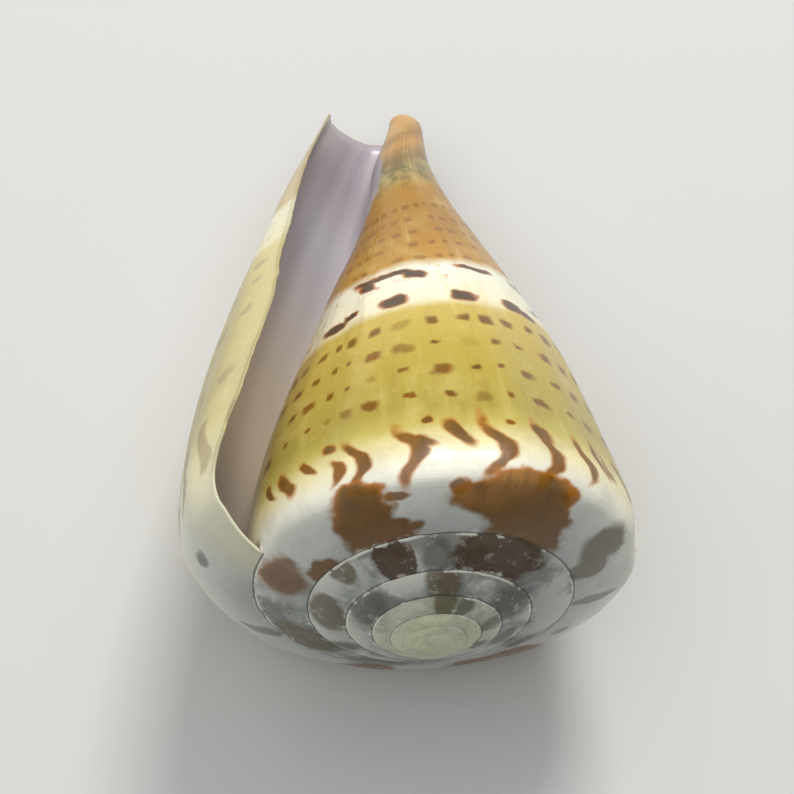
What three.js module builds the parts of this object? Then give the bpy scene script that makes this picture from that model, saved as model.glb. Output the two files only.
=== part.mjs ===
// A cone shell about 62 mm long, lying on its back with the slit of its aperture facing up.
// Lengths are millimetres, angles are degrees and growth is counted in turns.
// The shell is described round its own axis: the point of the spire is the origin, the axis
// runs towards the front end, and the last whorl ends at turn 0, the outer lip. A place on a
// whorl is a row, from the suture along the ramp, round the shoulder and down the side.

import * as THREE from "three";

const { smoothstep, lerp, degToRad } = THREE.MathUtils;

// The coil
const growth = 1.436; // how much larger a whorl is than the one a turn before it
const spireTurns = 6; // whorls that show on the spire, before the last one
const lipAngle = 26; // place of the outer lip round the axis, at its suture
const length = 62.6; // from the point of the spire to the end of the columella

// The outline of the last whorl, at the lip, as radius and depth
const sideStart = new THREE.Vector2(23.7, 18.2); // where the straight side starts
const sideTip = 78.4; // depth at which the side's cone would close
const sideBulge = 1.8; // how far the side swells out past that cone, a third of the way down
const shoulderDrop = 7.5; // from the shoulder's corner to the start of the side
const shoulderRamp = 3; // how far the shoulder's rounding reaches up the ramp
const sutureShare = 0.15; // how far round the shoulder the next whorl is laid on
const rootShare = 0.45; // how far round the shoulder the inside of the next whorl starts

// The columella and the notch at the front end
const columellaRadius = 1.9;
const columellaBlend = 2.5; // over how much radius a whorl runs into the columella
const nubLength = 1.2; // how far the columella stands past the rim
const nubLean = 1.3; // how far its end leans away from the lip
const leanLength = 9; // over which it does
const leanRadius = 5; // how far from the axis the lean fades out

// The outer lip and the wall behind it
const lipSweep = 24; // how far the middle of the lip stands forward of its ends
const lipSweepSkew = 1.2; // over 1, the lip's most forward place is nearer the front end
const lipTipSweep = -2.5; // how far its front end stands forward of its suture end
const lipReach = 0.35; // turns behind the lip over which the growth lines lean with it
const lipPinch = 0.05; // share of its radius by which the whorl draws in behind the lip
const lipPinchTurn = -0.14; // where it does
const lipPinchWidth = 0.14; // and over how many turns
const lipTurnIn = 0.05; // share of its radius by which the edge itself turns in
const lipTurnInReach = 0.04; // turns over which it does
const wall = 2.1;
const frontWall = 1.2; // the wall at the front end
const lipEdge = 0.5; // the wall at the lip's edge
const lipThinning = 0.1; // turns over which the wall thins to it
const cavityTurns = 1.05; // how far the hollow runs in from the lip

// How the shell lies: its turn round its own axis, then how far its front end dips
const restRoll = -1.3;
const restDip = 17.9;

// The mesh, and the shell's finish
const stations = 24; // in each turn
const rampRows = 3;
const shoulderRows = 2; // past the root
const sideRows = 6;
const nubRows = 4;
const finish = { color: 0xd8c58e, roughness: 0.35, metalness: 0 };

const sutureRow = rampRows + 1; // where the next whorl is laid on
const rootRow = sutureRow + 1; // where the inside of the next whorl starts
const sideRow = rootRow + shoulderRows; // where the side starts
const lastRow = sideRow + sideRows;
const notchDepth = length - nubLength;
const apexStation = -Math.round((spireTurns + 1) * stations);
const cavityStation = -Math.round(cavityTurns * stations);

// The larger of two lengths, with a rounded change from one to the other.
function softMax(a, b, blend) {
  const over = a - b;
  if (Math.abs(over) >= blend) return Math.max(a, b);
  return b + (over + blend) ** 2 / (4 * blend);
}

// Radius of the last whorl's side at a depth: a cone with a swelling near the shoulder.
function sideRadius(depth) {
  const share = (depth - sideStart.y) / (sideTip - sideStart.y);
  return sideStart.x * (1 - share) + sideBulge * 6.75 * share * (1 - share) ** 2;
}

// The last whorl's shoulder. Each whorl starts on the one before, a little way round that
// whorl's shoulder, so the suture and the shoulder's curve are found together.
function makeShoulder() {
  const down = new THREE.Vector2(sideRadius(sideStart.y + 1) - sideRadius(sideStart.y), 1);
  const corner = sideStart.clone().addScaledVector(down.normalize(), -shoulderDrop);
  let suture = corner.clone().divideScalar(growth);
  let curve;
  for (let round = 0; round < 20; round++) {
    const inwards = suture.clone().sub(corner).normalize();
    const rampEnd = corner.clone().addScaledVector(inwards, shoulderRamp);
    curve = new THREE.QuadraticBezierCurve(rampEnd, corner, sideStart);
    suture = curve.getPoint(sutureShare).divideScalar(growth);
  }
  return { suture, rampEnd: curve.v0, curve };
}
const shoulder = makeShoulder();

// Share of its full radius that the whorl has near the lip: it draws in a little behind the
// lip, and the lip's edge turns in.
function drawIn(turn) {
  const pinch = lipPinch * Math.exp(-(((turn - lipPinchTurn) / lipPinchWidth) ** 2));
  return 1 - pinch - lipTurnIn * smoothstep(turn, -lipTurnInReach, 0);
}

// Radius of a whorl's side at a depth, down to the columella it is wound on.
function radiusAt(turn, depth, share = 1) {
  const scale = growth ** turn;
  return softMax(scale * sideRadius(depth / scale) * share, columellaRadius, columellaBlend);
}

// A point of a whorl's outline as radius and depth, whose last row lies at endDepth.
function outline(turn, row, endDepth, share) {
  const scale = growth ** turn;
  const point = new THREE.Vector2();
  if (row > sideRow) {
    point.y = lerp(scale * sideStart.y, endDepth, (row - sideRow) / sideRows);
    point.x = radiusAt(turn, point.y, share);
    return point;
  }
  if (row <= rampRows) point.lerpVectors(shoulder.suture, shoulder.rampEnd, row / rampRows);
  else if (row === sutureRow) shoulder.curve.getPoint(sutureShare, point);
  else shoulder.curve.getPoint(lerp(rootShare, 1, (row - rootRow) / shoulderRows), point);
  point.x *= lerp(1, share, Math.min(row / rampRows, 1));
  return point.multiplyScalar(scale);
}

// How far along the outline each row lies, from 0 at the suture to 1 at the front end.
function measureRows() {
  const places = [0];
  for (let row = 1; row <= lastRow; row++) {
    const step = outline(0, row, notchDepth, 1).distanceTo(outline(0, row - 1, notchDepth, 1));
    places.push(places[row - 1] + step);
  }
  return places.map((place) => place / places[lastRow]);
}
const rowPlace = measureRows();

// How far forward of its station a row lies, in turns: the growth lines bow like the lip.
function lean(turn, row) {
  const bow = lipSweep * Math.sin(Math.PI * rowPlace[row] ** lipSweepSkew);
  return ((bow + lipTipSweep * rowPlace[row]) / 360) * smoothstep(turn, -lipReach, 0);
}

// The wall's thickness, less towards the front end and towards the lip.
function wallAt(turn, row) {
  const full = lerp(wall, frontWall, smoothstep(row, sideRow, lastRow));
  return lerp(full, lipEdge, smoothstep(turn, -lipThinning, 0));
}

// How much room there is at a depth between the inside of a whorl and the whorl before it.
function gapAt(turn, depth) {
  return radiusAt(turn, depth) - frontWall - radiusAt(turn - 1, depth);
}

// The last station whose hollow closes before it reaches the notch. Those after it are open.
function findClosedStation() {
  let station = 0;
  while (gapAt(station / stations, notchDepth) > 0) station--;
  return station;
}
const closedStation = findClosedStation();

// Depth at which the hollow closes on the columella.
function closingDepth(turn) {
  let open = growth ** turn * sideStart.y;
  let closed = notchDepth;
  for (let round = 0; round < 40; round++) {
    const middle = (open + closed) / 2;
    if (gapAt(turn, middle) > 0) open = middle;
    else closed = middle;
  }
  return closed;
}

// Depth of the last row of the outside. Past one turn back from the open rim, the outside is
// the inner wall of the hollow, and ends where the hollow does.
function outsideEnd(station) {
  if (station > closedStation - stations) return notchDepth;
  return closingDepth(station / stations + 1);
}

// The mesh is built as one list of points and one of triangles.
const positions = [];
const triangles = [];

function addPoint(turn, radius, depth) {
  const angle = degToRad(lipAngle + 360 * turn);
  const nearAxis = 1 - smoothstep(radius, columellaRadius, leanRadius);
  const shift = nubLean * nearAxis * smoothstep(depth, length - leanLength, length);
  positions.push(radius * Math.cos(angle) - shift, radius * Math.sin(angle), depth);
  return positions.length / 3 - 1;
}

// Keeps the point that a maker gives for a station and row, so each one is made once.
function remembered(make) {
  const known = new Map();
  return (station, row) => {
    const key = station + ":" + row;
    if (!known.has(key)) known.set(key, make(station, row));
    return known.get(key);
  };
}

// A whorl starts on the point of the whorl before, at its suture.
const outsidePoint = remembered((station, row) => {
  if (row === 0 && station - stations >= apexStation)
    return outsidePoint(station - stations, sutureRow);
  const turn = station / stations;
  const place = turn + lean(turn, row);
  const point = outline(place, row, outsideEnd(station), drawIn(turn));
  return addPoint(place, point.x, point.y);
});

// The inside is the outside drawn in by the wall's thickness. It starts at the root, and where
// the hollow is closed it ends on the whorl before.
const insidePoint = remembered((station, row) => {
  if (row === 0) return outsidePoint(station - stations, rootRow);
  const closed = station <= closedStation;
  if (closed && row === lastRow) return outsidePoint(station - stations, lastRow);
  const turn = station / stations;
  const place = turn + lean(turn, row);
  const end = closed ? closingDepth(turn) : notchDepth;
  const at = (nearRow) => outline(place, nearRow, end, drawIn(turn));
  const point = at(row);
  const inwards = new THREE.Vector2(-1, 0);
  if (row < lastRow) {
    const along = at(row + 1).sub(at(row - 1)).normalize();
    inwards.set(-along.y, along.x);
  }
  point.addScaledVector(inwards, wallAt(turn, row));
  return addPoint(place, point.x, point.y);
});

// Adds the polygon through some points as a fan of triangles, leaving out any that has closed up.
function addFace(...corners) {
  for (let i = 2; i < corners.length; i++) {
    const triangle = [corners[0], corners[i - 1], corners[i]];
    if (new Set(triangle).size === 3) triangles.push(...triangle);
  }
}

// Adds the faces between two stations and two rows of a sheet.
function addPatch(sheet, station, row, facesIn = false) {
  const corners = [
    sheet(station, row),
    sheet(station + 1, row),
    sheet(station + 1, row + 1),
    sheet(station, row + 1),
  ];
  if (facesIn) corners.reverse();
  addFace(...corners);
}

// The ramps of the spire, the last whorl down to the front end, and the hollow's inner wall.
function addOutside() {
  for (let station = apexStation; station < 0; station++) {
    const onLastWhorl = station >= -stations;
    const inHollow = station >= cavityStation - stations;
    for (let row = 0; row < lastRow; row++) {
      const onRamp = row < sutureRow;
      const pastRoot = row >= rootRow;
      if (onLastWhorl || onRamp || (inHollow && pastRoot)) addPatch(outsidePoint, station, row);
    }
  }
}

// The hollow's outer wall, and the face that ends the hollow.
function addHollow() {
  for (let station = cavityStation; station < 0; station++)
    for (let row = 0; row < lastRow; row++) addPatch(insidePoint, station, row, true);
  const outer = (row) => insidePoint(cavityStation, row);
  const inner = (row) => outsidePoint(cavityStation - stations, Math.max(row, rootRow));
  for (let row = 0; row < lastRow; row++)
    addFace(outer(row + 1), outer(row), inner(row), inner(row + 1));
}

// The edge of the lip, then the rim of the notch round to where it meets the columella.
function addEdges() {
  for (let row = 0; row < lastRow; row++)
    addFace(
      outsidePoint(0, row + 1),
      outsidePoint(0, row),
      insidePoint(0, row),
      insidePoint(0, row + 1),
    );
  for (let station = closedStation; station < 0; station++)
    addFace(
      outsidePoint(station, lastRow),
      outsidePoint(station + 1, lastRow),
      insidePoint(station + 1, lastRow),
      insidePoint(station, lastRow),
    );
  addFace(
    outsidePoint(closedStation, lastRow),
    insidePoint(closedStation, lastRow),
    outsidePoint(closedStation + 1 - stations, lastRow),
  );
}

// The rounded end of the columella, on the ring where the notch's bottom runs round it.
function addNub() {
  const firstStation = closedStation + 1 - stations;
  const nubPoint = remembered((station, row) => {
    if (row === 0) return outsidePoint(station, lastRow);
    const turn = station / stations;
    const rise = (Math.PI / 2) * (row / nubRows);
    const radius = radiusAt(turn, notchDepth) * Math.cos(rise) ** 0.7;
    return addPoint(turn, radius, notchDepth + nubLength * Math.sin(rise));
  });
  const tip = addPoint(0, 0, length);
  for (let step = 0; step < stations; step++) {
    const here = firstStation + step;
    const next = firstStation + ((step + 1) % stations);
    for (let row = 0; row < nubRows - 1; row++)
      addFace(nubPoint(here, row), nubPoint(next, row), nubPoint(next, row + 1), nubPoint(here, row + 1));
    addFace(nubPoint(here, nubRows - 1), nubPoint(next, nubRows - 1), tip);
  }
}

// The point of the spire, over the start of the coil.
function addApex() {
  const apex = addPoint(0, 0, 0);
  for (let step = 0; step < stations; step++)
    addFace(
      apex,
      outsidePoint(apexStation + step + 1, 0),
      outsidePoint(apexStation + step, 0),
    );
  for (let row = 0; row < sutureRow; row++)
    addFace(apex, outsidePoint(apexStation, row), outsidePoint(apexStation, row + 1));
}

addOutside();
addHollow();
addEdges();
addNub();
addApex();

const geometry = new THREE.BufferGeometry();
geometry.setAttribute("position", new THREE.Float32BufferAttribute(positions, 3));
geometry.setIndex(triangles);
geometry.computeVertexNormals();
const coneShell = new THREE.Mesh(geometry, new THREE.MeshStandardMaterial(finish));
coneShell.name = "cone_shell";

// Laid down, with the front end away along +Y and the lip towards -X, over the origin.
coneShell.rotation.set(degToRad(-90 - restDip), 0, degToRad(180 + restRoll));
const part = new THREE.Group();
part.add(coneShell);
const box = new THREE.Box3().setFromObject(part, true);
const middle = box.getCenter(new THREE.Vector3());
coneShell.position.set(-middle.x, -middle.y, -box.min.z);

export default part;
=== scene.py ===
import math

import bpy
import numpy as np
from mathutils import Euler, Matrix, Vector, noise


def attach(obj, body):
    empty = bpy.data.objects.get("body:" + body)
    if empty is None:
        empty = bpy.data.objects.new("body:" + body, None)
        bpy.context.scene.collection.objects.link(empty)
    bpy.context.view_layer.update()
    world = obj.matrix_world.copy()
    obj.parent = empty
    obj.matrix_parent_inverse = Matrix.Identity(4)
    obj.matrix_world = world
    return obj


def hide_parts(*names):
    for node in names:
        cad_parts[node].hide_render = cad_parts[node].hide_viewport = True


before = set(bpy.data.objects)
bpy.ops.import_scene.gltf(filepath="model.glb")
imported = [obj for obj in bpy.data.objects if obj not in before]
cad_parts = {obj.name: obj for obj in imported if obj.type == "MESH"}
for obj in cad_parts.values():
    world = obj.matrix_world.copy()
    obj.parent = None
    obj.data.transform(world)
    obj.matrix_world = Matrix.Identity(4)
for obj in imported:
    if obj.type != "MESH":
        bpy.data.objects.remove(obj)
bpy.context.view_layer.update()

# The shell is worked out in mm round its own axis: the tip of the spire is the origin and the
# axis runs towards the front end. A turn counts the coil, with the lip at turn 0. A place runs
# from 0 at the suture, over the shoulder, to 1 at the front end.

shape = {
    "growth": 1.436,  # size of a whorl over the one before it
    "spireTurns": 8,
    "lipAngle": 26,
    "length": 62.6,
    "sideStart": (23.7, 18.2),
    "sideTip": 78.4,
    "sideBulge": 1.8,
    "shoulderDrop": 7.5,
    "shoulderRamp": 3,
    "sutureShare": 0.15,
    "rootShare": 0.45,
    "columella": (1.9, 1.0, 54),  # its radius, its end's radius, and where it starts to narrow
    "columellaBlend": 4.8,
    "nubLength": 1.2,
    "nubLean": 1.3,
    "nubReach": 9,  # how much of the front end leans with it
    "nubRadii": (1.9, 5),
    "lipSweep": 24,
    "lipSkew": 1.2,
    "lipTipSweep": -2.5,
    "lipReach": 0.35,
    "lipBulge": 4.3,  # degrees the middle of the lip stands forward
    "bulgePlaces": (0.15, 0.27, 0.42, 0.56),  # where that starts, is full, fades and ends
    "bulgeReach": 0.14,
    "rampBulge": 0.28,
    "undulation": [(0.006, 58, 0.6), (0.005, 93, 2.2)],  # share, rate and start of each wave
    # where a whorl is fuller or flatter: turn, place, half its turns, half its places, share
    "swells": [
        (-1.02, 0.7, 0.14, 0.12, 0.08),
        (-0.62, 0.33, 0.16, 0.13, -0.03),
        (-0.36, 0.13, 0.17, 0.1, -0.018),
    ],
    "unevenTurns": (-0.97, -0.88, -0.1, 0),  # where the waves start, are full, fade and end
    "pinch": (0.07, -0.12, 0.13),  # share drawn in, at which turn, over how many
    "turnIn": (0.05, 0.04),
    "wall": 2.1,
    "frontWall": 1.2,
    "lipEdge": 0.3,
    "lipThinning": 0.1,
    "hollowTurns": 1.05,
    "rest": (-107.9, 0, 178.7),  # how it lies, in degrees
    "apexAt": (1.516, -29.894, 25.306),
}

# How fine the mesh is, and how worn and uneven the surface
finish = {
    "stations": 180,  # in each turn
    "rampRows": 12,
    "sideRows": 84,
    "edgeRows": 5,
    "nubRows": 8,
    "unevenness": 0.13,
    "sutureWear": 0.3,
    "wearRows": 1.6,  # how far the wear reaches from a suture
    "spireWear": 0.15,
    "lipChips": 0.85,  # degrees
    "chipsReach": 0.03,
    "lipRounding": 0.45,  # as a share of the lip's thickness
    "notchRounding": 0.45,
    "weldDistance": 0.000002,
}

growth = shape["growth"]
stations = finish["stations"]
sideStart = np.array(shape["sideStart"])
notchDepth = shape["length"] - shape["nubLength"]


def smoothStep(x, low, high):
    s = np.clip((x - low) / (high - low), 0, 1)
    return s * s * (3 - 2 * s)


def softMax(a, b, blend):
    over = a - b
    return np.where(np.abs(over) >= blend, np.maximum(a, b), b + (over + blend) ** 2 / (4 * blend))


def sideRadius(depth):
    s = (depth - sideStart[1]) / (shape["sideTip"] - sideStart[1])
    return sideStart[0] * (1 - s) + shape["sideBulge"] * 6.75 * s * (1 - s) ** 2


# The outline of the last whorl, row by row, as radius and depth, and the place of each row
def makeOutline():
    down = np.array([sideRadius(sideStart[1] + 1) - sideRadius(sideStart[1]), 1])
    corner = sideStart - down / np.linalg.norm(down) * shape["shoulderDrop"]
    suture = corner / growth
    for _ in range(30):
        inwards = (suture - corner) / np.linalg.norm(suture - corner)
        rampEnd = corner + inwards * shape["shoulderRamp"]
        u = shape["sutureShare"]
        onCurve = (1 - u) ** 2 * rampEnd + 2 * u * (1 - u) * corner + u * u * sideStart
        suture = onCurve / growth
    shares = np.concatenate([
        np.linspace(0, shape["sutureShare"], 3)[1:],
        np.linspace(shape["sutureShare"], shape["rootShare"], finish["edgeRows"] + 1)[1:],
        np.linspace(shape["rootShare"], 1, 9)[1:],
    ])[:, None]
    rampShares = np.linspace(0, 1, finish["rampRows"] + 1)
    ramp = suture + (rampEnd - suture) * rampShares[:, None]
    ramp[:, 1] -= shape["rampBulge"] * np.sin(math.pi * rampShares)
    bend = (1 - shares) ** 2 * rampEnd + 2 * shares * (1 - shares) * corner + shares**2 * sideStart
    depths = np.linspace(sideStart[1], notchDepth, finish["sideRows"] + 1)[1:]
    radii = softMax(sideRadius(depths), shape["columella"][0], shape["columellaBlend"])
    points = np.concatenate([ramp, bend, np.stack([radii, depths], 1)])
    steps = np.linalg.norm(np.diff(points, axis=0), axis=1)
    places = np.concatenate([[0], np.cumsum(steps)])
    return points, places / places[-1]


outline, rowPlaces = makeOutline()
sutureRow = finish["rampRows"] + 2
rootRow = sutureRow + finish["edgeRows"]
lastRow = len(outline) - 1
sideRow = lastRow - finish["sideRows"]
apexStation = -(shape["spireTurns"] + 1) * stations
hollowStation = -round(shape["hollowTurns"] * stations)


# The columella is slimmer towards its end
def columellaRadius(depth):
    thick, thin, start = shape["columella"]
    return thick + (thin - thick) * smoothStep(depth, start, shape["length"] + 1)


def radiusAt(turn, depth, share=1):
    scale = growth**turn
    side = scale * sideRadius(depth / scale) * share
    return softMax(side, columellaRadius(depth), shape["columellaBlend"])


# The whorl draws in a little behind the lip, the lip's edge turns in, and the rest swells and
# sinks as it grew
def drawIn(turn):
    amount, at, width = shape["pinch"]
    turnIn, reach = shape["turnIn"]
    uneven = sum(much * np.sin(rate * turn + start) for much, rate, start in shape["undulation"])
    starts, full, fades, ends = shape["unevenTurns"]
    pinch = amount * np.exp(-(((turn - at) / width) ** 2))
    share = 1 - pinch - turnIn * smoothStep(turn, -reach, 0)
    return share + uneven * smoothStep(turn, starts, full) * smoothStep(turn, ends, fades)


# The growth lines bow like the lip, and the lip's edge is a little chipped
def lean(turn, row):
    place = rowPlaces[row]
    sweep = shape["lipSweep"] * np.sin(math.pi * place ** shape["lipSkew"])
    bow = sweep + shape["lipTipSweep"] * place
    starts, full, fades, ends = shape["bulgePlaces"]
    bulge = shape["lipBulge"] * (smoothStep(place, starts, full) - smoothStep(place, fades, ends))
    ragged = np.array([
        noise.noise((p * 46, 3.1, 0)) + noise.noise((p * 120, 7.7, 0)) * 0.5 for p in rowPlaces
    ])
    onEdge = smoothStep(place, 0.15, 0.25) * smoothStep(place, 1, 0.9)
    chips = finish["lipChips"] * ragged[row] * onEdge
    forward = bow * smoothStep(turn, -shape["lipReach"], 0)
    forward = forward + bulge * smoothStep(turn, -shape["bulgeReach"], 0)
    return (forward + chips * smoothStep(turn, -finish["chipsReach"], 0)) / 360


# How much fuller or flatter than the plain coil the whorl is
def swellAt(turn, place):
    return sum(
        amount * np.exp(-(((turn - atTurn) / width) ** 2) - ((place - atPlace) / height) ** 2)
        for atTurn, atPlace, width, height, amount in shape["swells"]
    )


# The room between the inside of a whorl and the whorl before it
def gapAt(turn, depth):
    return radiusAt(turn, depth) - shape["frontWall"] - radiusAt(turn - 1, depth)


# The last station whose hollow closes on the columella before it reaches the front end
closedStation = 0
while gapAt(closedStation / stations, notchDepth) > 0:
    closedStation -= 1


# Where the hollow closes on the columella
def closingDepth(turn):
    low = growth**turn * sideStart[1]
    high = np.full_like(low, notchDepth)
    for _ in range(40):
        middle = (low + high) / 2
        isOpen = gapAt(turn, middle) > 0
        low = np.where(isOpen, middle, low)
        high = np.where(isOpen, high, middle)
    return high


# Points round the shell's own axis, from turn, radius and depth
def wind(turn, radius, depth):
    angle = np.radians(shape["lipAngle"] + 360 * turn)
    nearAxis = 1 - smoothStep(radius, *shape["nubRadii"])
    towardsEnd = smoothStep(depth, shape["length"] - shape["nubReach"], shape["length"])
    shift = shape["nubLean"] * nearAxis * towardsEnd
    return np.stack([radius * np.cos(angle) - shift, radius * np.sin(angle), depth], -1)


# Radius and depth of a row, on a whorl whose last row lies at the depth called end
def section(turn, place, row, end):
    scale = growth**place
    share = drawIn(turn) + swellAt(turn, rowPlaces[row])
    start = scale * sideStart[1]
    depth = start + (end - start) * (row - sideRow) / finish["sideRows"]
    radius = radiusAt(place, depth, share)
    nearSuture = np.minimum(row / finish["rampRows"], 1)
    onSide = row > sideRow
    return (
        np.where(onSide, radius, scale * outline[row, 0] * (1 + (share - 1) * nearSuture)),
        np.where(onSide, depth, scale * outline[row, 1]),
    )


def layOutside(station, row):
    turn = station / stations
    place = turn + lean(turn, row)
    end = np.where(station <= closedStation - stations, closingDepth(turn + 1), notchDepth)
    return wind(place, *section(turn, place, row, end))


def wallAt(turn, row):
    full = shape["wall"] + (shape["frontWall"] - shape["wall"]) * smoothStep(row, sideRow, lastRow)
    return full + (shape["lipEdge"] - full) * smoothStep(turn, -shape["lipThinning"], 0)


# The inside is the outside drawn in by the wall. It starts at the root of the whorl, and where
# the hollow is closed it ends on the whorl before.
def layInside(station, row):
    turn = station / stations
    place = turn + lean(turn, row)
    closed = station <= closedStation
    end = np.where(closed, closingDepth(turn), notchDepth)
    radius, depth = section(turn, place, row, end)
    nextRadius, nextDepth = section(turn, place, np.minimum(row + 1, lastRow), end)
    backRadius, backDepth = section(turn, place, np.maximum(row - 1, 0), end)
    along = np.stack([nextRadius - backRadius, nextDepth - backDepth])
    along = along / np.linalg.norm(along, axis=0)
    along = np.where(row == lastRow, np.array([[0.0], [1.0]]), along)
    thickness = wallAt(turn, row)
    points = wind(place, radius - along[1] * thickness, depth + along[0] * thickness)
    before = layOutside(station - stations, np.where(row == 0, rootRow, lastRow))
    return np.where(((row == 0) | (closed & (row == lastRow)))[:, None], before, points)


# What the shell is coloured with. A mark is (turn, place, half its width in turns, half its
# height in places), and colours are 0 to 255.
pattern = {
    "ground": [
        # from place 0.09 down to the suture the ground turns grey: painted shade on the ramp,
        # which gets less light there
        (0.0, (184, 188, 182)),
        (0.09, (218, 220, 211)),
        (0.13, (244, 242, 228)),
        (0.155, (244, 240, 218)),
        (0.2, (238, 226, 172)),
        (0.245, (200, 184, 98)),
        (0.28, (174, 157, 70)),
        (0.4, (192, 169, 74)),
        (0.47, (206, 181, 88)),
        (0.49, (246, 240, 208)),
        (0.575, (248, 246, 226)),
        (0.598, (190, 144, 58)),
        (0.7, (170, 122, 40)),
        (0.8, (174, 130, 56)),
        (0.85, (164, 150, 104)),
        (0.885, (142, 120, 88)),
        (0.92, (194, 152, 102)),
        (0.945, (166, 132, 92)),
        (0.975, (206, 166, 114)),
    ],
    "spireTip": (212, 218, 178),
    "spireGreyAndShade": (84, 90, 82),
    "chestnut": ((100, 70, 0), (124, 78, 0)),
    "warmAndLit": (176, 120, 44),
    "umber": ((74, 52, 12), (72, 42, 16)),
    "rust": ((100, 62, 4), (128, 82, 4)),
    "olive": ((92, 80, 44), (98, 84, 56)),
    "grey": ((92, 90, 78), (76, 74, 64)),
    "band": ((70, 44, 22), (74, 44, 34)),
    "flame": ((146, 88, 6), (88, 60, 14)),
    "fringe": (182, 112, 22),
    "dot": ((150, 88, 0), (86, 54, 4)),
    "firstBandRow": 0.505,
    "bandRowStep": 0.064,
    "tanDot": (128, 78, 24),
    "lipCream": (244, 236, 188),
    "lipEdge": (118, 106, 80),
    "frontPatch": (88, 88, 76),
    "deepShade": (118, 106, 98),
    "inside": (242, 228, 206),
    "insideRear": (196, 184, 174),
    "insideViolet": (202, 197, 207),
    "callus": (154, 146, 150),
    "insideFront": (150, 136, 150),
    "chalk": (236, 237, 224),
    "cloud": (236, 234, 230),
    "growthLine": (120, 110, 112),
    "darkStreak": (150, 108, 34),
    "lightStreak": (236, 216, 140),
    "lightBlotch": (228, 210, 138),
    "grime": (58, 56, 46),
    "speck": (196, 112, 40),
    "bandDrift": 0.12,
    "streakBow": [
        (0, 0.5),
        (0.125, 0.46),
        (0.15, 0.52),
        (0.178, 0.6),
        (0.212, 0.52),
        (0.25, 0.44),
        (1, 0.44),
    ],
    # where growth paused, as how far along the last turn each column of marks lies
    "columnTurns": [0.07, 0.092, 0.11, 0.133, 0.166, 0.2, 0.232, 0.252, 0.282, 0.317],
    "firstColumn": 0.07,
    "columnStep": 0.0275,
    "firstDotRow": 0.298,
    "dotRowStep": 0.0475,
    "firstTanRow": 0.603,
    "tanRowStep": 0.0365,
}

marks = {
    "chestnut": [
        (-0.877, 0.015, 0.042, 0.045),
        (-0.888, 0.07, 0.031, 0.055),
        (-0.886, 0.11, 0.024, 0.04),
        (-0.716, 0.015, 0.047, 0.045),
        (-0.749, 0.088, 0.058, 0.042),
        (-0.728, 0.062, 0.046, 0.05),
        (-0.735, 0.118, 0.04, 0.032),
        (-0.967, 0.002, 0.031, 0.038),
        (-0.39, 0.05, 0.045, 0.07),
        (-0.27, 0.06, 0.03, 0.06),
    ],
    "umber": [
        (-1.73, 0.06, 0.062, 0.1),
        (-1.872, 0.06, 0.028, 0.1),
    ],
    "rust": [
        (-1.016, 0.065, 0.032, 0.056),
        (-0.852, 0.098, 0.012, 0.01),
        (-0.797, 0.11, 0.009, 0.018),
        (-0.872, 0.125, 0.012, 0.012),
        (-0.7, 0.118, 0.01, 0.02),
    ],
    "olive": [
        (-0.604, 0.03, 0.018, 0.05),
        (-0.624, 0.08, 0.022, 0.052),
        (-1.948, 0.1, 0.02, 0.05),
        (-1.15, 0.06, 0.045, 0.08),
        (-2.052, 0.06, 0.045, 0.06),
        (-2.8, 0.06, 0.037, 0.1),
        (-3.79, 0.06, 0.031, 0.1),
    ],
    "grey": [
        (-0.535, 0.05, 0.008, 0.05),
        (-0.47, 0.045, 0.009, 0.018),
        (-0.15, 0.05, 0.01, 0.05),
        (-0.058, 0.1, 0.007, 0.012),
        (-1.815, 0.05, 0.022, 0.07),
        (-1.455, 0.06, 0.022, 0.03),
        (-1.26, 0.06, 0.04, 0.08),
        (-2.978, 0.06, 0.056, 0.09),
        (-2.625, 0.06, 0.056, 0.09),
        (-2.49, 0.05, 0.04, 0.04),
        (-2.16, 0.06, 0.02, 0.05),
        (-3.727, 0.06, 0.027, 0.08),
        (-3.59, 0.06, 0.03, 0.08),
        (-3.47, 0.04, 0.03, 0.05),
    ],
    "band": [
        (-0.925, 0.494, 0.02, 0.01),
        (-0.902, 0.503, 0.012, 0.008),
        (-0.843, 0.504, 0.02, 0.014),
        (-0.76, 0.51, 0.017, 0.014),
        (-0.692, 0.514, 0.016, 0.015),
        (-0.67, 0.506, 0.014, 0.009),
        (-0.878, 0.562, 0.015, 0.014),
        (-0.858, 0.576, 0.045, 0.008),
        (-0.812, 0.57, 0.018, 0.011),
        (-0.722, 0.592, 0.03, 0.007),
    ],
    "flame": [
        (-0.971, 0.226, 0.005, 0.028),
        (-0.951, 0.212, 0.0078, 0.04),
        (-0.923, 0.222, 0.0048, 0.024),
        (-0.904, 0.18, 0.0062, 0.028),
        (-0.896, 0.242, 0.0068, 0.015),
        (-0.882, 0.185, 0.007, 0.068),
        (-0.838, 0.182, 0.0072, 0.07),
        (-0.832, 0.2, 0.009, 0.018),
        (-0.797, 0.22, 0.0085, 0.034),
        (-0.77, 0.187, 0.0078, 0.075),
        (-0.727, 0.187, 0.0078, 0.075),
        (-0.724, 0.232, 0.009, 0.024),
        (-0.687, 0.203, 0.0055, 0.048),
        (-0.665, 0.225, 0.0045, 0.034),
        (-0.814, 0.252, 0.0055, 0.009),
        (-0.75, 0.246, 0.004, 0.007),
    ],
}


def tint(colour):
    linear = [((c / 255 + 0.055) / 1.055) ** 2.4 if c > 10 else c / 3294.6 for c in colour]
    return (*linear, 1)


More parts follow.
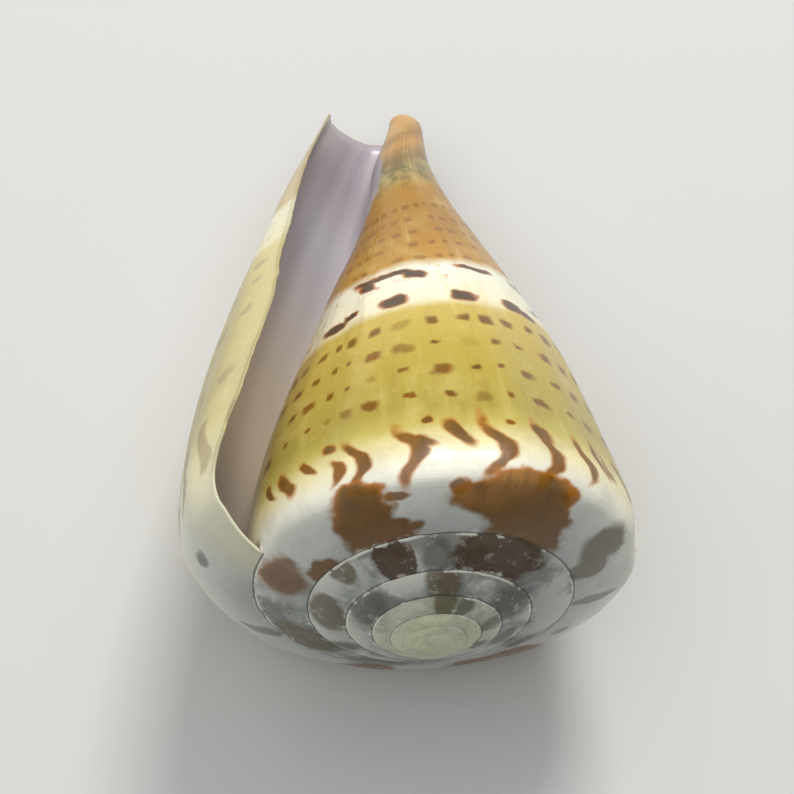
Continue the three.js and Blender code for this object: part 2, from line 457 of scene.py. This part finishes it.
# A shader value that can be written in sums
class Wire:
    def __init__(self, socket):
        self.socket = socket

    def math(self, operation, *values):
        return make(self.socket.id_data, "Math", {"operation": operation}, self, *values)

    def __add__(self, other):
        return self.math("ADD", other)

    def __sub__(self, other):
        return self.math("SUBTRACT", other)

    def __rsub__(self, other):
        return make(self.socket.id_data, "Math", {"operation": "SUBTRACT"}, other, self)

    def __mul__(self, other):
        return self.math("MULTIPLY", other)

    def __truediv__(self, other):
        return self.math("DIVIDE", other)

    __radd__ = __add__
    __rmul__ = __mul__


# Makes any node: its settings first, then its inputs by place or by name
def make(tree, kind, settings, *values, output=0, **named):
    node = tree.nodes.new("ShaderNode" + kind)
    for name, value in settings.items():
        if name == "stops":
            setStops(node.color_ramp, value)
        elif name == "points":
            setPoints(node.mapping, value, "VECTOR")
        elif name == "smoothPoints":
            setPoints(node.mapping, value, "AUTO")
        else:
            setattr(node, name, value)
    pairs = list(zip(node.inputs, values))
    pairs += [(node.inputs[name], value) for name, value in named.items()]
    for socket, value in pairs:
        if isinstance(value, Wire):
            tree.links.new(value.socket, socket)
        elif value is not None:
            socket.default_value = value
    return Wire(node.outputs[output])


def setStops(ramp, stops):
    while len(ramp.elements) < len(stops):
        ramp.elements.new(0.5)
    for element, (position, colour) in zip(ramp.elements, stops):
        element.position = position
        element.color = tint(colour)


def setPoints(mapping, points, handles):
    curve = mapping.curves[0]
    while len(curve.points) < len(points):
        curve.points.new(0.5, 0.5)
    for point, place in zip(curve.points, points):
        point.location = place
        point.handle_type = handles
    mapping.update()


def step(x, low, high):
    settings = {"interpolation_type": "SMOOTHSTEP"}
    return make(x.socket.id_data, "MapRange", settings, x, low, high, 0.0, 1.0)


def splitUp(vector):
    node = make(vector.socket.id_data, "SeparateXYZ", {}, vector).socket.node
    return [Wire(socket) for socket in node.outputs]


def mixColour(share, first, second):
    tree = share.socket.id_data
    a, b = [colour if isinstance(colour, Wire) else tint(colour) for colour in (first, second)]
    node = tree.nodes.new("ShaderNodeMix")
    node.data_type = "RGBA"
    for socket, value in zip((node.inputs[0], node.inputs[6], node.inputs[7]), (share, a, b)):
        if isinstance(value, Wire):
            tree.links.new(value.socket, socket)
        else:
            socket.default_value = value
    return Wire(node.outputs[2])


def noiseAt(vector, scale, detail=2.0, roughness=0.5):
    values = {"Scale": scale, "Detail": detail, "Roughness": roughness}
    return make(vector.socket.id_data, "TexNoise", {}, Vector=vector, **values)


# How far a point is from the nearest mark of one colour: under 1 inside it
def farFrom(group, spotPlace, square=False):
    tree = spotPlace.socket.id_data
    nearest = None
    for turn, place, halfTurn, halfPlace in group:
        offset = make(tree, "VectorMath", {"operation": "SUBTRACT"}, spotPlace, (turn, place, 0))
        sized = make(tree, "VectorMath", {"operation": "DIVIDE"}, offset, (halfTurn, halfPlace, 1))
        far = make(tree, "VectorMath", {"operation": "LENGTH"}, sized, output=1)
        if square:
            across, down, _ = splitUp(make(tree, "VectorMath", {"operation": "ABSOLUTE"}, sized))
            far = (across.math("MAXIMUM", down) + far) * 0.5
        nearest = far if nearest is None else nearest.math("SMOOTH_MIN", far, 0.25)
    return nearest


def newMaterial(name):
    material = bpy.data.materials.new(name)
    material.use_nodes = True
    tree = material.node_tree
    return material, tree, tree.nodes["Principled BSDF"]


def setSockets(tree, shader, **values):
    for name, value in values.items():
        socket = shader.inputs[name.replace("_", " ")]
        if isinstance(value, Wire):
            tree.links.new(value.socket, socket)
        else:
            socket.default_value = value


# The lining that shows inside the aperture, by turn and place
def liningColour(turn, place, cloud):
    lower = mixColour(step(place, 0.24, 0.42), pattern["insideRear"], pattern["inside"])
    base = mixColour(step(place, 0.45, 0.8) * 0.9, lower, pattern["insideViolet"])
    base = mixColour(step(place, 0.8, 0.93) * 0.6, base, pattern["insideFront"])
    near = mixColour(step(turn, -0.10, 0.0) * 0.2, base, pattern["lipCream"])
    # darker further in from the lip: painted shade inside the aperture
    shadedDeeper = mixColour(step(0 - turn, 0.25, 0.85) * 0.5, near, pattern["deepShade"])
    return mixColour(cloud * 0.15, shadedDeeper, pattern["cloud"])


def makeOutsideMaterial():
    material, tree, shader = newMaterial("patternedShell")
    uv = make(tree, "TexCoord", {}, output=2)
    onShell = make(tree, "TexCoord", {}, output=3)
    turn, place, _ = splitUp(uv)

    # edges wander a little
    coarse = noiseAt(onShell, 150.0, 2.0)
    wander = noiseAt(onShell, 480.0, 3.0)
    fine = noiseAt(onShell, 760.0, 2.0)
    turnShift = (wander - 0.5) * 0.012 + (coarse - 0.5) * 0.02
    placeShift = (fine - 0.5) * 0.012 + (coarse - 0.5) * 0.02
    spotPlace = make(tree, "CombineXYZ", {}, turn + turnShift, place + placeShift, 0.0)
    shade = noiseAt(onShell, 90.0, 3.0)
    chalk = noiseAt(onShell, 900.0, 4.0, 0.65)

    onSpire = step(0 - turn, 1.0, 1.004) * step(0 - place, -0.14, -0.135)
    # the bands slide a little towards the front end as the whorl grows
    drift = (turn + 0.9).math("MAXIMUM", 0.0) * pattern["bandDrift"] * step(place, 0.25, 0.5)
    bandPlace = place - drift
    wavy = bandPlace + (coarse - 0.5) * 0.02 + (fine - 0.5) * 0.012
    ground = make(tree, "ValToRGB", {"stops": pattern["ground"]}, wavy)

    # fine streaks that follow the growth lines
    streaks = noiseAt(make(tree, "CombineXYZ", {}, turn * 70, place * 5, 0.0), 1.0, 4.0, 0.6)
    onSide = step(place, 0.2, 0.28)
    darkStreaks = step(streaks, 0.52, 0.75) * 0.25 * onSide
    ground = mixColour(darkStreaks, ground, pattern["darkStreak"])
    lightStreaks = step(0 - streaks, -0.47, -0.25) * 0.3 * onSide
    ground = mixColour(lightStreaks, ground, pattern["lightStreak"])
    blotchy = step(noiseAt(onShell, 320.0, 4.0, 0.6), 0.5, 0.7)
    ground = mixColour(blotchy * 0.22 * onSide, ground, pattern["lightBlotch"])
    # the spire is mottled grey, and the constant share of grey over the whole spire is painted
    # shade
    mottle = step(noiseAt(onShell, 190.0, 5.0, 0.65), 0.42, 0.62)
    ground = mixColour((mottle * 0.62 + 0.12) * onSpire, ground, pattern["spireGreyAndShade"])
    ground = mixColour(mottle * 0.16 * (1 - onSpire) * (1 - onSide), ground, pattern["spireGreyAndShade"])

    # rows of dots, in columns where growth paused
    first, gap = pattern["firstColumn"], pattern["columnStep"]
    points = [(0, 0)] + [(x, first + gap * i) for i, x in enumerate(pattern["columnTurns"])]
    along = make(tree, "FloatCurve", {"points": points + [(1, 1)]}, 1.0, turn + 1)
    columns = (along - first) / gap + 20.5
    column = columns + (wander - 0.5) * 0.45

    def dotRows(first, gap, count, width, height, seed):
        row = (bandPlace - first) / gap + 0.5 + (coarse - 0.5) * 0.35 + (fine - 0.5) * 0.25
        index = row.math("FLOOR")
        cell = make(tree, "CombineXYZ", {}, column.math("FLOOR"), index, seed)
        chance = make(tree, "TexWhiteNoise", {"noise_dimensions": "3D"}, cell, output=1)
        one, two, three = splitUp(chance)
        size = one * 0.75 + 0.62 + index * 0.07
        across = (column.math("FRACT") - 0.5 + (two - 0.5) * 0.2) / width
        down = (row.math("FRACT") - 0.5 + (one - 0.5) * 0.1) / height
        circle = (across * across + down * down).math("SQRT")
        square = across.math("ABSOLUTE").math("MAXIMUM", down.math("ABSOLUTE"))
        far = (circle * 0.5 + square * 0.55 + (chalk - 0.5) * 1.2) / size
        inRows = step(index, -0.5, -0.4) * step(0 - index, 0.4 - count, 0.5 - count)
        return (1 - step(far, 0.45, 1.3)) * step(three, 0.04, 0.3) * inRows

    dots = dotRows(pattern["firstDotRow"], pattern["dotRowStep"], 4, 0.23, 0.15, 0.5)
    tanDots = dotRows(pattern["firstTanRow"], pattern["tanRowStep"], 5, 0.26, 0.15, 3.5)
    bandDots = dotRows(pattern["firstBandRow"], pattern["bandRowStep"], 2, 0.42, 0.16, 6.5)

    # wavy streaks run down from the shoulder, between columns on the hidden side
    bow = make(tree, "FloatCurve", {"smoothPoints": pattern["streakBow"]}, 1.0, place) * 0.1 - 0.05
    bowed = turn - bow + turnShift * 0.6
    flamePlace = make(tree, "CombineXYZ", {}, bowed, place + placeShift, 0.0)
    flameColumn = columns - bow * 36 + (wander - 0.5) * 0.5
    chance = make(tree, "TexWhiteNoise", {"noise_dimensions": "1D"}, W=flameColumn.math("FLOOR"))
    inFlame = (flameColumn.math("FRACT") - 0.5).math("ABSOLUTE")
    tapered = step(place, 0.12, 0.2) * 0.12 + 0.06
    reach = step(place - chance * 0.1, 0.125, 0.14) * (1 - step(place, 0.245, 0.262))
    flames = (1 - step(inFlame - tapered, -0.08, 0.06)) * reach * step(turn, -0.665, -0.655)

    colour = mixColour(flames * 0.85, ground, mixColour(shade, *pattern["flame"]))
    darker = step(streaks, 0.35, 0.65) * 0.5 + shade * 0.5
    colour = mixColour(dots * (shade * 0.3 + 0.75), colour, mixColour(darker, *pattern["dot"]))
    colour = mixColour(tanDots * (shade * 0.5 + 0.35), colour, pattern["tanDot"])
    hidden = step(turn, -0.655, -0.64) * (1 - step(turn, -0.06, -0.03))
    colour = mixColour(bandDots * hidden, colour, mixColour(darker, *pattern["band"]))
    nearTip = step(0 - turn, 2.6, 5.0) * onSpire * (1 - mottle * 0.35)
    colour = mixColour(nearTip, colour, pattern["spireTip"])
    fadeTip = 1 - step(0 - turn, 3.8, 4.4)
    for name, softness, strength in (
        ("grey", 0.3, 0.72),
        ("olive", 0.2, 0.8),
        ("flame", 0.3, 0.94),
        ("band", 0.2, 0.95),
        ("umber", 0.12, 0.9),
        ("rust", 0.25, 0.85),
        ("chestnut", 0.16, 0.95),
    ):
        far = farFrom(marks[name], flamePlace if name == "flame" else spotPlace, name == "band")
        far = far + (wander - 0.5) * 0.4 + (fine - 0.5) * 0.5
        tone = mixColour(darker, *pattern[name])
        if name == "chestnut":
            # the blotches turn a warmer, lighter brown towards the shoulder: partly their own
            # colour, partly painted light on the shoulder's lit side
            towardsShoulder = step(place + (coarse - 0.5) * 0.16, 0.05, 0.15)
            warmthAndLight = towardsShoulder * step(streaks * 0.5 + coarse, 0.6, 0.9)
            tone = mixColour(warmthAndLight * 0.75, tone, pattern["warmAndLit"])
            tone = mixColour(step(streaks, 0.55, 0.72) * 0.45, tone, pattern["umber"][1])
        if name in ("flame", "chestnut", "rust", "band"):
            onFringe = step(far, 0.6, 1.05) * step(place, 0.06, 0.13)
            tone = mixColour(onFringe, tone, pattern["fringe"])
        inside = 1 - step(far, 1 - softness, 1 + softness)
        colour = mixColour(inside * strength * fadeTip, colour, tone)

    # a mottled grey patch behind the front end
    onPatch = step(place, 0.8, 0.84) * (1 - step(place, 0.87, 0.9))
    onPatch = onPatch * step(fine + wander, 0.95, 1.15)
    colour = mixColour(onPatch * 0.5, colour, pattern["frontPatch"])

    # paler by the lip, and the lining where the whorl runs into the aperture
    colour = mixColour(step(turn, -0.06, -0.01) * 0.5, colour, pattern["lipCream"])
    onEdge = step(turn, -0.005, 0.0) * 0.4 * step(place, 0.1, 0.2)
    colour = mixColour(onEdge, colour, pattern["lipEdge"])
    cloud = noiseAt(onShell, 60.0, 2.0)
    onCallus = step(place + (coarse - 0.5) * 0.12, 0.76, 0.83) * (1 - step(place, 0.9, 0.95))
    fromBody = 0 - turn + onCallus * (0.06 + coarse * 0.08) + (wander - 0.5) * 0.03
    inAperture = step(fromBody, 0.985, 1.03) * (1 - onSpire) * step(place, 0.125, 0.16)
    lining = liningColour(turn + 1, place, cloud)
    callus = mixColour(step(place, 0.74, 0.86) * 0.8, lining, pattern["callus"])
    colour = mixColour(inAperture, colour, callus)
    inBand = step(bandPlace, 0.485, 0.5) * (1 - step(bandPlace, 0.58, 0.6))
    specks = step(chalk, 0.57, 0.62) * inBand * step(coarse, 0.45, 0.6) * (1 - inAperture)
    colour = mixColour(specks * 0.7, colour, pattern["speck"])

    # chalky wear on the spire, a light chipped rim by each suture that is partly a painted
    # highlight, and a thin dark line along the suture
    worn = Wire(make(tree, "Attribute", {"attribute_name": "wear"}, output=2).socket)
    patchy = step(coarse + fine * 0.4, 0.62, 0.8)
    chalkMask = step(chalk + worn * 0.3, 0.66, 0.84) * worn * patchy
    colour = mixColour(chalkMask * 0.85, colour, pattern["chalk"])
    fromSuture = (place + (wander - 0.5) * 0.007).math("ABSOLUTE")
    toSuture = (place - 0.1237 + (wander - 0.5) * 0.007).math("ABSOLUTE")
    lineWidth = step(0 - turn, 0.5, 4.0) * 0.006 + 0.0045
    line = 1 - step(fromSuture / lineWidth, 0.35, 1.0)
    rim = (1 - step(toSuture / lineWidth, 0.5, 1.5)) * onSpire
    # chalky chips on the rim, which also stand in for a painted highlight along the whorl's edge
    chipsAndHighlightRim = rim * step(chalk + patchy * 0.2, 0.54, 0.64) * 0.9
    colour = mixColour(chipsAndHighlightRim, colour, pattern["chalk"])
    lineStrength = (0.45 + wander * 0.7) * (1 - step(0 - turn, 3.0, 5.0) * 0.6)
    colour = mixColour(line * lineStrength, colour, pattern["grime"])
    speckle = step(0 - turn, 1.0, 2.5) * onSpire
    colour = mixColour(step(chalk, 0.54, 0.68) * speckle * 0.4, colour, pattern["chalk"])

    threads = noiseAt(make(tree, "CombineXYZ", {}, turn * 6, place * 160, 0.0), 1.0, 2.0)
    bumpHeight = streaks * 0.5 + threads * 0.25
    bumpHeight = bumpHeight + chalk * (worn + onSpire * 0.35) * 1.4
    bump = make(tree, "Bump", {}, Strength=0.45, Distance=0.00018, Height=bumpHeight)
    roughness = 0.3 + onSpire * 0.16 + worn * 0.2 + chalkMask * 0.1
    setSockets(tree, shader, Base_Color=colour, Roughness=roughness, Normal=bump)
    setSockets(tree, shader, Coat_Weight=0.2 * (1 - onSpire * 0.5), Coat_Roughness=0.12, IOR=1.4)
    return material


def makeInsideMaterial():
    material, tree, shader = newMaterial("shellLining")
    onShell = make(tree, "TexCoord", {}, output=3)
    uv = make(tree, "TexCoord", {}, output=2)
    turn, place, _ = splitUp(uv)
    cloud = noiseAt(onShell, 60.0, 2.0)
    colour = liningColour(turn, place, cloud)
    growthBands = noiseAt(make(tree, "CombineXYZ", {}, turn * 60, place * 4, 0.0), 1.0, 3.0)
    colour = mixColour(growthBands * 0.08, colour, pattern["growthLine"])
    bump = make(tree, "Bump", {}, Strength=0.2, Distance=0.00015, Height=growthBands)
    setSockets(tree, shader, Base_Color=colour, Roughness=0.34, Normal=bump)
    setSockets(tree, shader, Coat_Weight=0.2, Coat_Roughness=0.15)
    return material


outsideShell = makeOutsideMaterial()
insideShell = makeInsideMaterial()
print("materials made")

pieces = []


# Lays a grid on rows of points, each point with its turn and place as its UV
def addGrid(points, turns, places, material, wear=0.0, flip=False):
    if flip:
        points, turns, places = points[:, ::-1], turns[:, ::-1], places[:, ::-1]
    down, across = points.shape[:2]
    bpy.ops.object.select_all(action="DESELECT")
    bpy.ops.mesh.primitive_grid_add(x_subdivisions=across - 1, y_subdivisions=down - 1)
    grid = bpy.context.object
    mesh = grid.data
    mesh.vertices.foreach_set("co", (points / 1000).ravel())
    corners = np.zeros(len(mesh.loops), int)
    mesh.loops.foreach_get("vertex_index", corners)
    uv = np.stack([turns.ravel(), places.ravel()], 1)[corners]
    mesh.uv_layers.active.data.foreach_set("uv", uv.ravel())
    worn = mesh.attributes.new("wear", "FLOAT", "POINT")
    worn.data.foreach_set("value", np.broadcast_to(wear, (down, across)).astype(float).ravel())
    mesh.materials.append(material)
    pieces.append(grid)


# A sheet of the whorl between two stations
def addSheet(first, last, rows, lay, material, wear=0.0, flip=False):
    station, row = np.meshgrid(np.arange(first, last + 1), rows)
    points = lay(station.ravel(), row.ravel()).reshape(*station.shape, 3)
    addGrid(points, station / stations, rowPlaces[row], material, wear, flip)


# Rows of points on a rounded edge from one line of points to another
def roundEdge(outer, inner, forward, amount):
    rows = []
    for share in np.linspace(0, 1, finish["edgeRows"] + 1):
        swelling = amount * math.sin(math.pi * share) ** 0.6
        rows.append(outer + (inner - outer) * share + forward * swelling)
    return np.array(rows)


def unit(vectors):
    return vectors / np.maximum(np.linalg.norm(vectors, axis=-1, keepdims=True), 1e-9)


rows = np.arange(lastRow + 1)
rampPart = rows[: sutureRow + 1]
nearSuture = np.exp(-((rampPart / finish["wearRows"]) ** 2))
nearSuture = nearSuture + np.exp(-(((rampPart - sutureRow) / finish["wearRows"]) ** 2))
lastWear = np.exp(-((rows / finish["wearRows"]) ** 2)) * 0.6
spireWear = finish["spireWear"] + (1 - finish["spireWear"]) * nearSuture

addSheet(-stations, 0, rows, layOutside, outsideShell, wear=lastWear[:, None])
addSheet(apexStation, -stations, rampPart, layOutside, outsideShell, wear=spireWear[:, None])
addSheet(hollowStation - stations, -stations, rows[rootRow:], layOutside, outsideShell)
addSheet(hollowStation, 0, rows, layInside, insideShell, flip=True)

# the rounded edge of the lip
whole = np.zeros_like(rows)
outer, inner = layOutside(whole, rows), layInside(whole, rows)
forward = unit(outer - layOutside(whole - 1, rows))
rounding = smoothStep(rows, 0, 6) * smoothStep(lastRow - rows, 0, 6)
rounding = rounding * shape["lipEdge"] * finish["lipRounding"]
edge = roundEdge(outer, inner, forward, rounding[:, None])
onRoot = np.arange(sutureRow, rootRow + 1)
edge[:, 0] = layOutside(np.full_like(onRoot, -stations), onRoot)
edgePlaces = np.broadcast_to(rowPlaces[rows], edge.shape[:2])
addGrid(edge, edgePlaces * 0.0, edgePlaces, outsideShell, flip=True)

# the rim of the notch, from where the hollow closes round to the lip
rim = np.arange(closedStation, 1)
lasts = np.full_like(rim, lastRow)
outer, inner = layOutside(rim, lasts), layInside(rim, lasts)
rounding = smoothStep(rim, closedStation, closedStation + 6) * smoothStep(-rim, 0, 4)
rounding = rounding * finish["notchRounding"]
edge = roundEdge(outer, inner, np.array([0.0, 0.0, 1.0]), rounding[:, None])
rimTurns = np.broadcast_to(rim / stations, edge.shape[:2])
addGrid(edge, rimTurns, rimTurns * 0 + 1.0, outsideShell)

# the step where the rim meets the columella
closing = edge[:, 0]
start = layOutside(np.array([closedStation + 1 - stations]), np.array([lastRow]))
fan = np.stack([closing, np.broadcast_to(start, closing.shape)])
blank = np.zeros(fan.shape[:2])
addGrid(fan, blank + closedStation / stations, blank + 1.0, outsideShell, flip=True)

# the rounded end of the columella
ring = closedStation + 1 - stations + np.arange(stations + 1)
turnRing = ring / stations
ringRadius = radiusAt(turnRing, notchDepth)
ringRadius[-1] = ringRadius[0]
turnRing = np.where(np.arange(stations + 1) == stations, turnRing[0] + 1, turnRing)
cap = []
for share in np.linspace(0, 1, finish["nubRows"] + 1):
    rise = math.pi / 2 * share
    evened = ringRadius + (ringRadius.min() + 0.2 - ringRadius) * share
    depth = notchDepth + shape["nubLength"] * math.sin(rise)
    cap.append(wind(turnRing, evened * max(math.cos(rise), 0) ** 0.7, np.full_like(evened, depth)))
cap = np.array(cap)
cap[-1] = cap[-1].mean(axis=0)
addGrid(cap, np.broadcast_to(turnRing, cap.shape[:2]), np.ones(cap.shape[:2]), outsideShell)

# the tip of the spire, over the start of the coil
ringPart = layOutside(apexStation + np.arange(stations + 1), np.zeros(stations + 1, int))
startPart = layOutside(np.full(sutureRow + 1, apexStation), rampPart)
brim = np.concatenate([startPart[:0:-1], ringPart])
tip = np.stack([np.zeros_like(brim), brim])
addGrid(tip, tip[..., 0] * 0 - 9, tip[..., 0] * 0 + 0.1, outsideShell)

# the wall that ends the hollow
innerRows = np.maximum(rows, rootRow)
end = np.stack([
    layOutside(np.full_like(rows, hollowStation - stations), innerRows),
    layInside(np.full_like(rows, hollowStation), rows),
])
addGrid(end, end[..., 0] * 0 - 1, end[..., 0] * 0 + 0.5, insideShell)
print("sheets laid")

bpy.ops.object.select_all(action="DESELECT")
for piece in pieces:
    piece.select_set(True)
bpy.context.view_layer.objects.active = pieces[0]
bpy.ops.object.join()
shell = bpy.context.object
shell.name = shell.data.name = "coneShell"
bpy.ops.object.mode_set(mode="EDIT")
bpy.ops.mesh.select_all(action="SELECT")
bpy.ops.mesh.remove_doubles(threshold=finish["weldDistance"])
bpy.ops.object.mode_set(mode="OBJECT")
bpy.ops.object.shade_smooth()


# The surface is a little uneven, and worn at the sutures
def roughen(mesh):
    count = len(mesh.vertices)
    co, normal, wear = np.zeros(count * 3), np.zeros(count * 3), np.zeros(count)
    mesh.vertices.foreach_get("co", co)
    mesh.vertex_normals.foreach_get("vector", normal)
    mesh.attributes["wear"].data.foreach_get("value", wear)
    co, normal = co.reshape(-1, 3), normal.reshape(-1, 3)
    push = np.zeros(count)
    for i, point in enumerate(co):
        at = Vector(point) * 1000
        radius = math.hypot(at.x, at.y)
        push[i] = noise.noise(at * 0.09) * finish["unevenness"] * min(radius / 10, 1)
        push[i] += noise.noise(at * 0.3 + Vector((9, 0, 0))) * finish["unevenness"] * 0.25
        if wear[i] > 0.05:
            chips = max(noise.noise(at * 0.7), 0) * max(noise.noise(at * 0.2) + 0.25, 0) * 2
            push[i] -= finish["sutureWear"] * wear[i] * chips * min(radius / 8, 1)
    co += normal * (push / 1000)[:, None]
    mesh.vertices.foreach_set("co", co.ravel())


roughen(shell.data)

# it is laid down as it rests
turnRest = Euler([math.radians(a) for a in shape["rest"]], "ZYX").to_matrix().to_4x4()
turnRest.translation = Vector(shape["apexAt"]) / 1000
shell.data.transform(turnRest)
lowest = min(vertex.co.z for vertex in shell.data.vertices)
shell.data.transform(Matrix.Translation((0, 0, -lowest)))
shell.data.update()

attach(shell, "root")
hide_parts("cone_shell")
print("shell made,", len(shell.data.polygons), "faces")

table = {
    "size": 3.0,
    "colour": (214, 214, 212),
    "sky": (0.62, 0.66, 0.72),
    "skyStrength": 0.2,
    "lampAim": (0, 0, 0.015),
    # place in metres, size in metres, power in watts, colour
    "lamps": {
        "mainLamp": ((0.10, 0.36, 0.46), 0.18, 2.3, (1.0, 0.985, 0.95)),
        "overheadLamp": ((-0.12, 0.06, 0.62), 0.85, 2.9, (1.0, 0.99, 0.98)),
        "frontLamp": ((-0.35, -0.45, 0.25), 0.4, 0.12, (0.95, 0.97, 1.0)),
    },
    "cameraPlace": (-0.012081, -0.063241, 0.223392),
    "cameraTurn": (16.277, -2.430, -3.305),  # degrees
    "lens": 102.05,
    "sensor": 36,
}

bpy.ops.object.select_all(action="DESELECT")
bpy.ops.mesh.primitive_plane_add(size=table["size"])
floor = bpy.context.object
floor.name = "floor"
floorMaterial, floorTree, floorShader = newMaterial("paleFloor")
setSockets(floorTree, floorShader, Base_Color=tint(table["colour"]), Roughness=0.9)
floor.data.materials.append(floorMaterial)

world = bpy.data.worlds.new("studio")
bpy.context.scene.world = world
world.use_nodes = True
background = world.node_tree.nodes["Background"]
background.inputs["Color"].default_value = (*table["sky"], 1)
background.inputs["Strength"].default_value = table["skyStrength"]

for name, (place, size, power, colour) in table["lamps"].items():
    bpy.ops.object.light_add(type="AREA", location=place)
    lamp = bpy.context.object
    lamp.name = name
    towards = Vector(table["lampAim"]) - Vector(place)
    lamp.rotation_euler = towards.to_track_quat("-Z", "Y").to_euler()
    lamp.data.size = size
    lamp.data.energy = power
    lamp.data.color = colour

bpy.ops.object.camera_add(location=table["cameraPlace"])
camera = bpy.context.object
camera.rotation_euler = [math.radians(a) for a in table["cameraTurn"]]
camera.data.lens = table["lens"]
camera.data.sensor_width = table["sensor"]
bpy.context.scene.camera = camera
bpy.context.scene.view_settings.view_transform = "Standard"
print("stage set")
